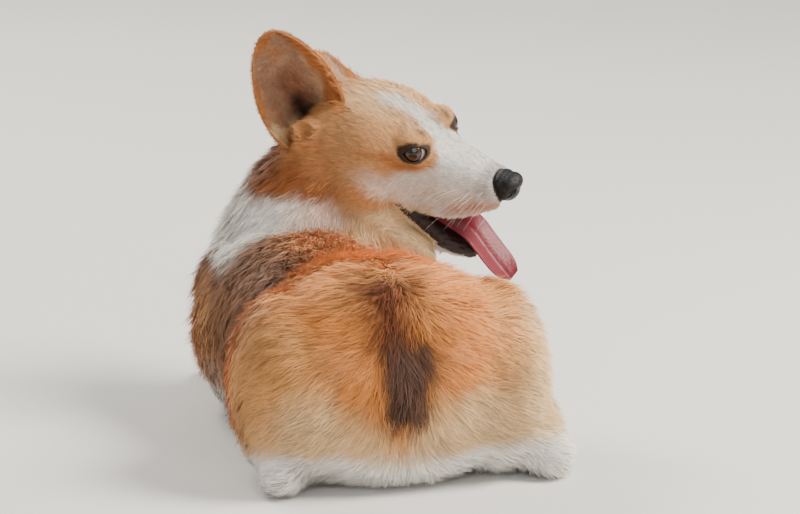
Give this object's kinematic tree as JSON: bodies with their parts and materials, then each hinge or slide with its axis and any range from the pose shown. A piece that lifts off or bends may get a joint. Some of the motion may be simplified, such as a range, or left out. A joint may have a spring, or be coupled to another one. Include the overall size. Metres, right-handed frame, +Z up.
{
  "type": "lying corgi dog model",
  "caption": "Life-size still model of a short-legged herding dog lying on its chest and looking back over its right shoulder, mouth open and tongue out.",
  "frame": {"origin": "on the floor under the middle of the belly, at the mount belly_on_floor", "axes": "+Z up, -Y towards the front of the body, +X towards the dog's left side"},
  "size_m": [0.2789, 0.4658, 0.3288],
  "materials": {
    "red_coat": "orange-red fur",
    "rust_coat": "rusty brown fur",
    "sable_coat": "dark brown fur",
    "cream_coat": "cream fur",
    "white_coat": "white fur",
    "ear_coat": "short fur over thin skin",
    "eye": "dark brown, wet gloss",
    "nose_leather": "black, damp, fine pebbled",
    "tongue": "pink, wet"
  },
  "bodies": {
    "root": {"chest": "white_coat", "head": "red_coat", "left_ear": "ear_coat", "left_eye": "eye", "left_foreleg": "white_coat", "left_forepaw": "white_coat", "left_hind_foot": "cream_coat", "left_hind_leg": "cream_coat", "left_hind_paw": "white_coat", "neck": "rust_coat", "nose": "nose_leather", "right_ear": "ear_coat", "right_eye": "eye", "right_foreleg": "white_coat", "right_forepaw": "white_coat", "right_hind_foot": "cream_coat", "right_hind_leg": "cream_coat", "right_hind_paw": "white_coat", "rump": "red_coat", "tail": "sable_coat", "tongue": "tongue", "torso": "red_coat"}
  },
  "joints": []
}
